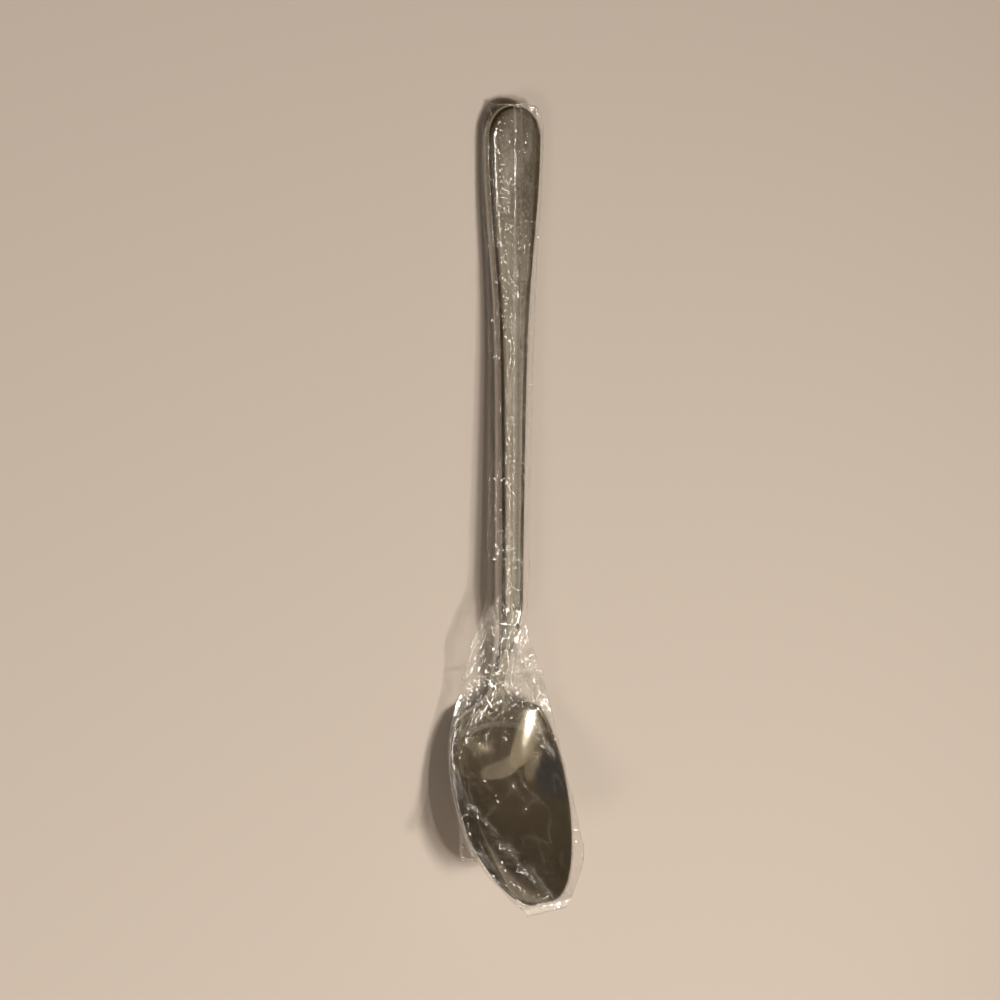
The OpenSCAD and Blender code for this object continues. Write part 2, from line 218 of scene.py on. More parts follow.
def bowl_share(x):
    """0 at the heel, 1 at the tip."""
    return np.clip((BOWL_LEN - x) / BOWL_LEN, 0, 1)


def bolster(x):
    """0 along the neck, rising to 1 where it meets the handle."""
    return ease((x - SHOULDER + 8) / 8)


def bowl_half(x):
    """Half the width: an egg from a sine raised to a power, flared into the neck near the heel."""
    s = bowl_share(x)
    egg = BOWL_W / 2 * np.maximum(0, np.sin(math.pi * s**0.88))**0.39
    neck = mix(NECK_W, NECK_W + 2 * SHELL_WALL, bolster(x)) / 2
    return np.where(x >= BOWL_LEN, neck, mix(NECK_W / 2, egg, ease(s / 0.13)))


def neck_depth(x):
    """Thickness of the neck, growing by two shell walls at the bolster."""
    return mix(NECK_T, NECK_T + 2 * SHELL_WALL, bolster(x))


def rim_height(x):
    """A parabola through heel, middle and tip, then an easing rise up the neck."""
    s = bowl_share(x)
    rim = RIM_HEEL * (1 - s) * (1 - 2 * s) + RIM_MID * 4 * s * (1 - s) + RIM_TIP * s * (2 * s - 1)
    neck = mix(RIM_HEEL, SHOULDER_Z + neck_depth(x) / 2, ease((x - BOWL_LEN) / NECK_LEN))
    return np.where(x >= BOWL_LEN, neck, rim)


def floor_height(x):
    """The underside along the middle: two powers that meet at the lowest place."""
    fore = REST + (RIM_TIP - RIM_T - REST) * np.clip((LOW - x) / LOW, 0, 1)**2.05
    aft = REST + (RIM_HEEL - NECK_T - REST) * np.clip((x - LOW) / (BOWL_LEN - LOW), 0, 1)**2.2
    return np.where(x >= BOWL_LEN, rim_height(x) - neck_depth(x), np.where(x < LOW, fore, aft))


def wall_height(x):
    """Thickness of the steel along the middle: the neck's, easing to the bowl's wall."""
    thin = mix(NECK_T, BOWL_WALL, ease(bowl_share(x) / 0.13))
    return np.where(x >= BOWL_LEN, neck_depth(x), np.minimum(thin, rim_height(x) - floor_height(x)))


def bowl_over(x, t):
    """Height of the inside: the rim, less the depth times one minus t to the power 2.5."""
    r = rim_height(x)
    return r - (r - floor_height(x) - wall_height(x)) * (1 - np.abs(t)**2.5)


def bowl_under(x, t):
    """Height of the underside: as the inside, from one rim thickness below the rim."""
    r = rim_height(x) - RIM_T
    return r - (r - floor_height(x)) * (1 - np.abs(t)**2.5)


def make_bowl():
    """Bowl, neck and tang: a middle surface thickened along its normals, which thins to nothing at
    the outline as a quarter ellipse, so that the rim is round. A raised tongue with a round end
    carries the neck's flat face into the heel."""
    fore = BOWL_LEN * np.linspace(0, 1, 190)**2.1
    neck_end = SHOULDER - FIT
    aft = np.concatenate([np.linspace(BOWL_LEN, neck_end, 46)[1:],
                          neck_end + TANG_LEN * ease(np.linspace(0, 1, TANG_ROWS + 1)[1:])])
    xs = np.concatenate([fore, aft])
    tang = np.arange(len(xs)) >= len(xs) - TANG_ROWS
    half = np.where(tang, TANG_W / 2, bowl_half(np.minimum(xs, neck_end)))
    t = crowded(101)
    x, tt = np.meshgrid(xs, t, indexing="ij")
    y = half[:, None] * tt
    mid_z = mix(SHOULDER_Z, END_Z, np.clip((x - SHOULDER) / HANDLE_LEN, 0, 1))
    top = np.where(tang[:, None], mid_z + TANG_T / 2, bowl_over(x, tt))
    low = np.where(tang[:, None], mid_z - TANG_T / 2, bowl_under(x, tt))
    along = np.clip((x - TONGUE_END) / 10, 0, 1)
    wide = TONGUE_HALF * np.sqrt(1 - (1 - along)**2)
    tongue = (1 - ease((np.abs(y) - wide + 0.4) / 1.7)) * ease((x - TONGUE_END + 1.5) / 4)
    tongue = tongue * ease((BOWL_LEN + 8 - x) / 16)
    flat = rim_height(x) - 0.35 - 0.2 * np.clip(BOWL_LEN - x, 0, 20)
    top = np.where(tang[:, None], top, mix(top, np.maximum(flat, top), tongue))
    mid = np.stack([x, y, (top + low) / 2], -1)
    outline = np.concatenate([np.stack([xs, half], 1), np.stack([xs, -half], 1)[::-1]])
    d = edge_distance(x, y, outline)
    n = grid_normals(np.stack([x, y, (bowl_over(x, tt) + bowl_under(x, tt)) / 2], -1))
    n = np.where(n[..., 2:] < 0, -n, n)
    n[tang] = (0, 0, 1)
    n[0] = n[1]
    rounding = np.where(x > 80, 1.1, 0.85)
    thick = (top - low) / 2 * n[..., 2] * np.sqrt(1 - (1 - np.clip(d / rounding, 0, 1))**2)
    return shell("spoon_bowl", mid + n * thick[..., None], mid - n * thick[..., None])


# ---------------------------------------------------------------- the hollow handle

def handle_share(x):
    """0 at the shoulder, 1 at the end."""
    return np.clip((x - SHOULDER) / HANDLE_LEN, 0, 1)


def handle_middle(x):
    """Height of the handle's middle, a straight line down to its end."""
    return mix(SHOULDER_Z, END_Z, handle_share(x))


def handle_plan(x):
    """Half the width that the handle would have without its shoulder and its round end."""
    return mix(WAIST_W, END_W, through(HANDLE_PLAN, handle_share(x))) / 2


def end_round(x):
    """1 along the handle, closing to 0 at the end as a rounded superellipse."""
    return np.maximum(0, 1 - np.clip((x - SPOON_LEN + END_ROUND) / END_ROUND, 0, 1)**2.2)**(1 / 2.2)


def handle_half(x):
    """Half the width: the waist widening to the end, closed in at the shoulder and rounded off."""
    start = mix((NECK_W + 2 * SHELL_WALL) / 2, handle_plan(x), ease((x - SHOULDER) / SHOULDER_LEN))
    return start * end_round(x)


def handle_depth(x):
    """Half the thickness, thinner at the neck and towards the end."""
    stem = mix(STEM_T, END_T, ease(handle_share(x))) / 2
    start = mix((NECK_T + 2 * SHELL_WALL) / 2, stem, ease((x - SHOULDER) / SHOULDER_LEN))
    return start * (0.62 + 0.38 * np.sqrt(end_round(x)))


def handle_outline():
    """The closed outline in plan, carried on past the shoulder so that no wall is drawn there."""
    xs = np.concatenate([np.linspace(SHOULDER, SPOON_LEN - END_ROUND, 150)[:-1],
                         SPOON_LEN - END_ROUND + END_ROUND * np.sin(np.linspace(0, math.pi / 2, 50))])
    half = handle_half(xs)
    return np.concatenate([np.stack([xs, half], 1), np.stack([xs, -half], 1)[::-1],
                           [[SHOULDER - 30, -half[0]], [SHOULDER - 30, half[0]]]])


def handle_lift(d, tt, half, b):
    """How far the face stands off the handle's middle, at a distance d in from the outline: a low
    side wall, a round corner, a slope up to the face, and a face that is crowned a little. half and b
    are half the width and half the thickness there, tt the share across."""
    reach = np.minimum(0.8 * b, 0.9 * half + 1e-3)
    s = np.clip(d / np.maximum(reach, 1e-3), 0, 1)
    rise = (1 - (1 - np.clip(s / 0.42, 0, 1))**2.2)**(1 / 2.2)
    crown = 0.045 * half
    slope = 0.68 * rise + 0.32 * (1 - (1 - s)**1.4)
    return 0.16 * b + (0.84 * b - crown) * slope + crown * (1 - tt**2) * rise


def handle_face(xs, t, front, inset=0.0):
    """Outer points of half the handle at stations xs and shares t across, or of the same face one
    inset further in. On the front a raised thread follows the outline inside the slope, and a slim
    rib runs along the middle."""
    half, depth = handle_half(xs), handle_depth(xs)
    x, tt = np.meshgrid(xs, t, indexing="ij")
    y = tt * np.maximum(half - inset, 0.02)[:, None]
    px = x - inset * ease((x - SPOON_LEN + 40) / 40)
    d = np.maximum(edge_distance(px, y, handle_outline()) - inset, 0)
    b = (depth - inset)[:, None]
    flat = handle_lift(d, tt, half[:, None], b)
    if front and inset == 0:
        thread = ease((px - SHOULDER - 8) / 25) * np.exp(-((d - 3.3) / 0.6)**2)
        along = ease((px - SHOULDER - 4) / 14) * ease((SPOON_LEN - 26 - px) / 30)
        flat = flat + 0.05 * thread + 0.12 * along * np.exp(-(y / 1.3)**2)
    return np.stack([px, y, handle_middle(px) + (1 if front else -1) * flat], -1)


def make_handle_half(name, front):
    """Half of the hollow handle, between its face and the same face one wall further in. The amount
    "side" is 1 at the soldered seam and falls to 0 up the slope of the side. The steel paints
    shade by it: painted shade, darker towards the seam."""
    xs = np.concatenate([np.linspace(SHOULDER, SHOULDER + SHOULDER_LEN, 22)[:-1],
                         np.linspace(SHOULDER + SHOULDER_LEN, SPOON_LEN - END_ROUND, 150)[:-1],
                         SPOON_LEN - END_ROUND + END_ROUND * np.sin(np.linspace(0, math.pi / 2, 56))])

    def walled(inset):
        p = handle_face(xs, crowded(91), front, inset)
        foot = p[:, [0, -1]].copy()
        foot[..., 2] = handle_middle(foot[..., 0])
        return np.concatenate([foot[:, :1], p, foot[:, 1:]], 1)

    over, under = walled(0.0), walled(SHELL_WALL)
    x, y = over[..., 0], over[..., 1]
    slope = np.minimum(0.8 * handle_depth(x), 0.9 * handle_half(x))
    # side: how much painted shade the steel puts on the side walls
    side = 1 - ease((edge_distance(x, y, handle_outline()) / slope - 0.35) / 0.5)
    return shell(name, over, under, {"side": np.concatenate([side.ravel(), side.ravel()])})


# ---------------------------------------------------------------- the film sleeve

FILM_START, FILM_END = -3.0, SPOON_LEN + 1
FILM_ROWS, FILM_COLS, LINING_ROWS = 520, 79, 200
FILM_GAP = 0.28  # between the taut film and the steel
MOUTH_REACH = 15  # how far from the spoon's end the mouth begins to draw back

# Half-width of the film to the left and to the right, and the height of its two side edges over the
# rim and then over the handle's middle, as (place from the tip, size)
FILM_LEFT = [(-3, 8.6), (0, 11.2), (4, 15), (10, 19.6), (14, 22.6), (18.3, 25.4), (19.6, 31.2),
             (22, 31.3), (26, 30), (31, 28.6), (40, 28.2), (50, 27.9), (60, 26.4), (70, 23.6),
             (78, 20.9), (84, 19.9), (90, 19.6), (96, 18.8), (104, 15.2), (110, 12), (117, 9.9),
             (140, 9.7), (180, 9.9), (220, 10.2), (245, 11.2), (262, 12.9), (280, 13.4),
             (294, 13.3), (301, 11)]
FILM_RIGHT = [(-3, 11), (0, 13.2), (4, 18.2), (10, 24.6), (15, 27.8), (20, 28.6), (30, 29.7),
              (40, 29), (50, 28.4), (60, 27.4), (70, 25.4), (78, 21.8), (84, 18.4), (90, 14.6),
              (96, 10.8), (104, 8.8), (117, 9.4), (140, 9.9), (180, 10.3), (220, 11), (245, 12),
              (262, 13.3), (280, 14), (294, 14.2), (301, 13.4)]
EDGE_RISE = [(-3, 0), (6, -0.5), (30, -0.9), (60, -0.6), (78, 0.8), (90, 0.3), (104, -0.4),
             (120, -1.2), (200, -1.3), (260, -1.6), (301, -1.6)]
EDGE_RISE_RIGHT = [(-3, 0), (6, -0.5), (30, -0.9), (60, -0.6), (78, 0.8), (90, 0.6), (104, 0.4),
                   (120, 0.8), (200, 1), (260, 1.4), (301, 1.6)]


def hull(y, z, at, side):
    """Height at places `at` of the taut string over (side 1) or under (side -1) points (y, z)."""
    order = np.argsort(y)
    chain = []
    for q in zip(y[order], z[order] * side):
        while len(chain) > 1 and ((chain[-1][0] - chain[-2][0]) * (q[1] - chain[-2][1])
                                  >= (chain[-1][1] - chain[-2][1]) * (q[0] - chain[-2][0])):
            chain.pop()
        chain.append(q)
    c = np.array(chain)
    return side * np.interp(at, c[:, 0], c[:, 1])


def film_sheets():
    """The upper and the lower film before it is crumpled: a taut string round each section of the
    spoon and out to the two side edges, which meet along the sides and in the seal at the tip. Over
    and under the neck it spans from the bowl to the handle."""
    xs = np.linspace(FILM_START, FILM_END, FILM_ROWS)
    u = np.linspace(-1, 1, FILM_COLS)
    u = 0.72 * u + 0.28 * np.sin(u * math.pi / 2)
    left, right = through(FILM_LEFT, xs), through(FILM_RIGHT, xs)
    base = np.where(xs < 84, rim_height(np.clip(xs, 0, 84)), 0)
    base = mix(base, handle_middle(xs), ease((xs - 70) / 24))
    edge = {1: base + through(EDGE_RISE, xs), -1: base + through(EDGE_RISE_RIGHT, xs)}
    y = mix(-right[:, None], left[:, None], (u[None, :] + 1) / 2)
    t = crowded(41)
    hx = np.clip(xs, SHOULDER, SPOON_LEN - 0.4)
    back = handle_face(hx, t, False)
    front = back * (1, 1, -1)
    front[..., 2] += 2 * handle_middle(back[..., 0])
    sheets = {}
    for side, skin in ((1, front), (-1, back)):
        z = np.zeros(y.shape)
        for i, x in enumerate(xs):
            ey, ez = np.array([-right[i], left[i]]), np.array([edge[-1][i], edge[1][i]])
            if x < 0.02:
                py, pz = ey, ez
            elif x < SHOULDER:
                h = bowl_half(np.array(x))
                top = bowl_over(x + 0 * t, t) if side > 0 else bowl_under(x + 0 * t, t)
                py, pz = np.concatenate([ey, h * t]), np.concatenate([ez, top + side * FILM_GAP])
            else:
                py = np.concatenate([ey, skin[i, :, 1]])
                pz = np.concatenate([ez, skin[i, :, 2] + side * FILM_GAP])
            z[i] = hull(py, pz, y[i], side)
        sheets[side] = z
    # the span over and under the neck: straight lines from a wavy start in the bowl to the handle
    for side, a, b in ((1, 61.0, 118.0), (-1, 66.0, 112.0)):
        a = a + 4 * np.sin(2.6 * u + 1)
        za, zb = (sheets[side][np.searchsorted(xs, q), np.arange(FILM_COLS)] for q in (a, b + 0 * a))
        k = np.clip((xs[:, None] - a) / (b - a), 0, 1)
        across = 1 - np.abs(u[None, :])**2.2
        line = mix(za[None, :], zb[None, :], k)
        pull = 0.75 if side > 0 else 0.9
        span = mix(sheets[side], side * np.maximum(side * sheets[side], side * line), pull * across)
        sheets[side] = np.where((xs[:, None] > a) & (xs[:, None] < b), span, sheets[side])
    # the seal at the tip, at the height of the rim there
    shut = ease((xs + 1.3) / 1.6)[:, None]
    middle = mix(RIM_TIP - 0.4, (sheets[1] + sheets[-1]) / 2, ease((xs + 2) / 5)[:, None])
    for side in (1, -1):
        sheets[side] = mix(middle, sheets[side], shut)
    return xs, u, y, sheets


def ridge(x, y, line, wide, high):
    """A crease along a line of (x, y) places: a sharp crest that falls off on both sides."""
    p = np.asarray(line, float)
    best = np.full(x.shape, 1e9)
    for a, b in zip(p[:-1], p[1:]):
        ab = b - a
        t = np.clip(((x - a[0]) * ab[0] + (y - a[1]) * ab[1]) / (ab @ ab), 0, 1)
        best = np.minimum(best, np.hypot(x - a[0] - t * ab[0], y - a[1] - t * ab[1]))
    return high * np.exp(-best / wide)


# Creases of the upper film, as (line of places, width, height, how crumpled the film is beside it):
# across the front of the bowl, out from the neck, over the bowl, in the tip's corner and on the handle
CREASES = [
    ([(53, 26), (38.4, 23.2), (26, 12.8), (20.6, 9), (11.3, 2.5), (5.8, -2.5), (0, -6)],
     1.6, 0.9, 0.9),
    ([(53, 26), (45, 13.7), (38, 8)], 1.5, 0.4, 0.5),
    ([(117, 4.9), (114, 4.4), (98, -2.3), (89, -4.9), (76, -10.6), (67.6, -13), (62.7, -15.8),
      (56, -20.2), (50, -23)], 1.2, 2.1, 1.0),
    ([(116, 6), (104, 11.6), (97.4, 16.4), (90.5, 17.3), (80, 19)], 1.4, 1.7, 0.9),
    ([(115, 3), (100, 4.5), (86, 6.5), (72, 11), (60, 18)], 1.4, 1.2, 0.5),
    ([(115, 0), (103, -4), (94, -7), (84, -13), (76, -19)], 1.3, 1.2, 0.5),
    ([(116, 4), (101, 0.8), (90, 0.5), (80, -1.5), (70, -4)], 1.1, 0.9, 0.4),
    ([(62, 22), (52, 22.5), (42, 22), (34, 19)], 1.2, 0.35, 0.5),
    ([(66, 15), (56, 18.5), (46, 19), (38, 16)], 1.2, 0.3, 0.35),
    ([(71, 2), (67, 6), (62, 8.5), (56, 15)], 0.7, 0.25, 0.6),
    ([(70, 0.5), (65, 1.5), (60, -0.5)], 0.6, 0.2, 0.6),
    ([(71, -2), (66, -5), (62, -4.5)], 0.6, 0.25, 0.6),
    ([(80, 16), (72, 19.5), (62, 23.5), (50, 26)], 0.9, 0.5, 0.9),
    ([(46.8, -5.2), (38, -9), (33, -12)], 0.9, 0.3, 0.5),
    ([(43, 0), (38, -3), (34, -4)], 0.9, 0.25, 0.6),
    ([(22, 24), (14, 18), (6, 12), (0, 7)], 1.6, 0.7, 1.0),
    ([(18, 18), (11, 12), (4, 5)], 1.3, 0.4, 0.8),
    ([(282, 12.4), (271.5, 12), (264, 11.2), (255, 9.8), (248, 8.2), (240, 6.6)], 1.3, 0.5, 0.7),
    ([(293.3, 3.4), (288.7, 0), (284.7, -2.1), (279.7, -4.6)], 0.7, 0.25, 0.5),
    ([(266, 7), (255, 4.4), (246, 3.6)], 1.0, 0.3, 0.9),
    ([(234.9, 8), (232.7, 2)], 0.7, 0.4, 0.9),
    ([(226, 4.5), (205, 3.5), (188, 4.5), (170, 3)], 0.9, 0.25, 0.8),
    ([(160, 4), (140, 2), (124, 4.5)], 0.9, 0.25, 0.7),
]


# Bands of crumpled film, as (line of places, reach, how crumpled): the corner at the tip, the left
# rim, both sides of the neck, and the handle
BANDS = [
    ([(27, 27), (14, 20), (7, 13), (1.5, 4), (-1, -8)], 5.0, 0.8),
    ([(73, 18), (62, 24), (50, 26), (40, 26.5), (30, 26)], 3.0, 0.7),
    ([(117, 4), (100, -2), (88, -5.5), (76, -11), (66, -15)], 3.2, 0.5),
    ([(116, 7), (100, 13.5), (90, 17), (80, 18.5)], 2.6, 0.35),
    ([(232, 5), (225, 3.5), (200, 2.5), (160, 2.5), (120, 2)], 2.4, 0.5),
]


def along_folds(x, y, pattern, seed):
    """A pattern stretched along the way the film is pulled: across the corner at the tip, out from
    the handle's start over the neck, and lengthwise on the handle, joined by easing shares."""
    reach = np.maximum(125 - x, 12)
    tip = pattern((0.45 * x + 0.89 * y) / 6, (0.45 * y - 0.89 * x) / 1.7, seed)
    neck = pattern(reach / 7, (y - 4) / reach * 17, seed + 3)
    stem = pattern(x / 7, y / 1.6, seed + 6)
    return mix(tip, mix(neck, stem, ease((x - 108) / 12)), ease((x - 34) / 14))


def wisps(x, y):
    """Faint curved wrinkles, 0 to 1: the thin lines where two smooth noises pass through nought,
    kept only in patches."""
    lines = 0 * x
    for k, (a, b) in enumerate(((16.0, 4.5), (6.0, 11.0))):
        keep = ease(0.3 + 1.6 * noise(x / 7, y / 7, 120 + k))
        lines = np.maximum(lines, keep * np.exp(-np.abs(noise(x / a + 3, y / b, 110 + k)) / 0.06))
    return lines


def crumple(x, y, u, side):
    """How far the film stands off its taut form, and how crinkled it is from 0 to 1: facets of
    three sizes, folds along the way it is pulled, and on the upper film creases, bands and wisps."""
    stem = ease((x - 104) / 14)
    neck = ease((x - 66) / 14) * (1 - ease((x - 104) / 12))
    fold, crinkle = 0 * x, 0 * x
    stray_x = x + 1.5 * noise(x / 7, y / 7, 61) + 0.5 * noise(x / 2.4, y / 2.4, 62)
    stray_y = y + 1.5 * noise(x / 7, y / 7, 63) + 0.5 * noise(x / 2.4, y / 2.4, 64)
    if side > 0:
        for k, (line, wide, high, wild) in enumerate(CREASES):
            near = ridge(stray_x, stray_y, line, 1.0, 1.0)
            fold = np.maximum(fold, high * near**(1 / wide))
            broken = 0.45 + 0.55 * ease(0.6 + 1.1 * noise(x / 5, y / 5, 200 + k))
            crinkle = np.maximum(crinkle, wild * broken * near**(1 / 2.4))
        for line, wide, wild in BANDS:
            crinkle = np.maximum(crinkle, ridge(stray_x, stray_y, line, wide, wild))
    patches = ease(0.5 + 1.3 * noise(x / 11, y / 4.5, 19) + 0.5 * noise(x / 4, y / 2.5, 23))
    skirt = np.clip((np.abs(u) - 0.8) / 0.2, 0, 1) * (1 - 0.6 * stem)
    crinkle = np.clip(np.maximum(crinkle, 0.75 * skirt * patches) + 0.5 * stem * patches**2
                      + 0.25 * neck, 0, 1)
    amount = (mix(0.32, 0.2, stem) + 0.2 * neck) * (1 if side > 0 else 0.5)
    push = amount * (facets(x / 9.5, y / 9.5 + 40 * side, 11 + side)
                     + 0.34 * facets(x / 3.4, y / 3.4 + 90, 31 + side))
    push = push + crinkle * (0.26 * along_folds(x, y, facets, 71)
                             + 0.1 * facets(x / 2.4, y / 2.4, 90 + side))
    push = push + (0.16 * wisps(x, y) if side > 0 else 0)
    loose = np.clip((1 - np.abs(u)) / 0.1, 0, 1)
    return np.maximum((side * push + 0.62 * fold) * loose, -0.1), crinkle


def haze_and_painted_highlight_of(points, u, crinkle):
    """How milky the film is: a little everywhere, more on the handle's face, most in creases, which
    are where the surface bends sharply, along the side edges and in the seal. This is partly the
    film's own haze and partly a painted highlight, in the creases, edges and seal, for the glints of
    crumpled film."""
    x, y, z = points[..., 0], points[..., 1], points[..., 2]
    bend = np.zeros(x.shape)
    step = np.maximum(np.abs(np.gradient(y, axis=1)), 0.05)
    bend[1:-1] += np.abs(z[2:] + z[:-2] - 2 * z[1:-1]) / 0.585
    bend[:, 1:-1] += np.abs(z[:, 2:] + z[:, :-2] - 2 * z[:, 1:-1]) / step[:, 1:-1]
    bend = np.clip(bend - 0.12, 0, 0.7) / 0.7
    stem = ease((x - 104) / 14)
    neck = ease((x - 66) / 14) * (1 - ease((x - 108) / 10))
    edge = np.clip((np.abs(u) - 0.93) / 0.07, 0, 1)**2
    seal = 1 - ease((x + 0.5) / 2.5)
    patchy = 0.5 + 0.5 * noise(x / 12, y / 7, 8)
    cling = np.exp(-(((x - 276) / 7)**2 + ((y - 3.5) / 5.5)**2)**2)
    torn = ease(0.5 + 1.1 * along_folds(x, y, noise, 28))
    cloud = 0.5 + 0.5 * noise(x / 5, y / 3, 29)
    wispy = 0.04 * wisps(x, y) + 0.07 * stem * cloud * torn
    base = 0.012 + stem * (0.025 + 0.03 * ease((x - 225) / 40)) + 0.02 * neck + 0.1 * cling
    clear = 1 - 0.75 * stem * ease((np.abs(u) - 0.4) / 0.25)
    # painted highlight with real haze: creases, wisps, side edges and seal are whitened where crumpled
    # film glints
    return np.clip(clear * (base * (0.55 + 0.9 * patchy) + 0.17 * bend * (0.3 + crinkle)
                            + 0.1 * crinkle**2 * torn + wispy)
                   + 0.14 * edge * (1 - 0.8 * stem) + 0.2 * seal, 0, 0.6)


def rest_on_steel(x, y, z, side):
    """The film's height, lifted where it would cut the steel, by a soft maximum. It is lifted more
    over the rib along the handle's middle."""
    skin = np.full(x.shape, -1e3)
    bowl = (x > 0.3) & (x < SHOULDER)
    half = np.where(bowl, bowl_half(np.clip(x, 0.3, SHOULDER)), 1)
    t = np.clip(y / half, -1, 1)
    on = bowl & (np.abs(y) < half + 0.5)
    skin = np.where(on, side * (bowl_over(x, t) if side > 0 else bowl_under(x, t)), skin)
    hx = np.clip(x, SHOULDER, SPOON_LEN - 0.4)
    half = handle_half(hx)
    tt = np.clip(np.abs(y) / np.maximum(half, 0.1), 0, 1)
    deep = handle_lift(edge_distance(hx, y, handle_outline()), tt, half, handle_depth(hx))
    on = (x >= SHOULDER) & (np.abs(y) < half + 0.3)
    deep = deep + (np.where(np.abs(y) < 1.6, 0.45, 0.12) if side > 0 else 0)
    skin = np.where(on, side * handle_middle(hx) + deep, skin)
    soft = 0.12
    return side * np.logaddexp(side * z / soft, (skin + 0.15) / soft) * soft


def film_outside(xs, u, y, sheets):
    """The crumpled outside, upper then lower film: grids of points, and how crinkled each is. The two
    share their side edges and their row at the tip, and draw back a little at the mouth's corners."""
    x = np.broadcast_to(xs[:, None], y.shape)
    across = u[None, :]
    outer, crinkle = {}, {}
    for side in (1, -1):
        lift, crinkle[side] = crumple(x, y, across, side)
        outer[side] = rest_on_steel(x, y, sheets[side] + side * lift * ease((x + 1.6) / 4), side)
    seam = 0.3 * facets(x / 2.2, 0 * y, 5) * (1 - ease((x + 1.6) / 2))
    mean = (outer[1] + outer[-1]) / 2
    wave = 0.3 * facets(x / 3.4, across + 0 * x, 91) * np.abs(across)**6
    shut = np.zeros(y.shape, bool)
    shut[:, [0, -1]] = True
    shut[0] = True
    mouth = ease((x - SPOON_LEN + MOUTH_REACH) / 16) * (0.6 + 3.4 * np.abs(across)**4)
    mouth = mouth + 0.5 * ease((x - SPOON_LEN + 4) / 5) * facets(y / 2.7, 0 * y, 15)
    grids = []
    for side in (1, -1):
        z = np.where(shut, mean, side * np.maximum(side * outer[side], side * mean + 0.03)) + seam
        low = np.where(shut | (side < 0), 0.03, 0.06)
        grids.append(np.stack([x - mouth, y + wave, np.maximum(z, low)], -1))
    return grids, [crinkle[1], crinkle[-1]]


def film_inside(xs, y, sheets):
    """The inside, upper then lower, with every other column of the outside's: the taut film, taken in
    to the width of the steel. It is shut along its sides and at the tip, as the outside is."""
    in_xs = np.linspace(-0.35, FILM_END, LINING_ROWS)
    reach = np.where(in_xs < SHOULDER, bowl_half(np.clip(in_xs, 0.02, SHOULDER)),
                     handle_half(np.clip(in_xs, SHOULDER, SPOON_LEN - 4))) + 0.3
    share = np.sin(np.linspace(-1, 1, (FILM_COLS + 1) // 2) * math.pi / 2)
    iy = np.clip(reach[:, None] * share, -through(FILM_RIGHT, in_xs)[:, None] + 0.05,
                 through(FILM_LEFT, in_xs)[:, None] - 0.05)
    near = np.clip(np.searchsorted(xs, in_xs), 0, FILM_ROWS - 1)
    lining = {side: np.array([np.interp(line, y[k], sheets[side][k]) for k, line in zip(near, iy)])
              - side * 0.12 for side in (1, -1)}
    mid = (lining[1] + lining[-1]) / 2
    shut = np.zeros(iy.shape, bool)
    shut[:, [0, -1]] = True
    shut[0] = True
    fit = in_xs - ease((in_xs - SPOON_LEN + MOUTH_REACH) / 16) * 0.9
    grids = []
    for side in (1, -1):
        z = np.where(shut, mid, side * np.maximum(side * lining[side], side * mid + 0.02))
        grids.append(np.stack([np.broadcast_to(fit[:, None], iy.shape), iy, np.maximum(z, 0.02)], -1))
    return grids


def make_film():
    """The film as one closed piece: a crumpled outside, and an inside that lies close round the
    steel, joined by a ring at the open mouth. It carries how milky it is, partly a painted highlight,
    and how crinkled it is."""
    xs, u, y, sheets = film_sheets()
    outside, crinkle = film_outside(xs, u, y, sheets)
    inside = film_inside(xs, y, sheets)
    haze_and_painted_highlight = [haze_and_painted_highlight_of(g, u[None, :], c) for g, c in zip(outside, crinkle)]
    grids = outside + inside
    haze_and_painted_highlight += [np.full(g.shape[:2], 0.004) for g in inside]
    crinkle += [np.zeros(g.shape[:2]) for g in inside]
    faces, base, last_rows = [], 0, []
    for k, g in enumerate(grids):
        faces.append(sheet_faces(g.shape[0], g.shape[1], base, k in (1, 2)))
        last_rows.append(base + (g.shape[0] - 1) * g.shape[1])
        base += g.shape[0] * g.shape[1]
    # the ring at the mouth: two outside steps to each inside step
    k = np.arange((FILM_COLS - 1) // 2)
    for out, inn in ((last_rows[0], last_rows[2]), (last_rows[1], last_rows[3])):
        a, b, c, d, e = out + 2 * k, out + 2 * k + 1, out + 2 * k + 2, inn + k, inn + k + 1
        for tri in ((a, b, d), (b, c, e), (b, e, d)):
            faces.append(np.stack([tri[0], tri[1], tri[2], tri[2]], -1))
    joined = lambda parts: np.concatenate([part.ravel() for part in parts])
    return make_mesh("film_bag", np.concatenate([g.reshape(-1, 3) for g in grids]),
                     np.concatenate(faces), {"haze_and_painted_highlight": joined(haze_and_painted_highlight), "crinkle": joined(crinkle)})


bowl_piece = make_bowl()
front_piece = make_handle_half("spoon_handle_front", True)
back_piece = make_handle_half("spoon_handle_back", False)
for piece, node in ((bowl_piece, "bowl"), (front_piece, "handle_front_shell"),
                    (back_piece, "handle_back_shell")):
    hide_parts(node)
    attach(piece, "spoon")
film_piece = make_film()
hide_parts("film_sleeve")
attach(film_piece, "sleeve")


# ---------------------------------------------------------------- materials

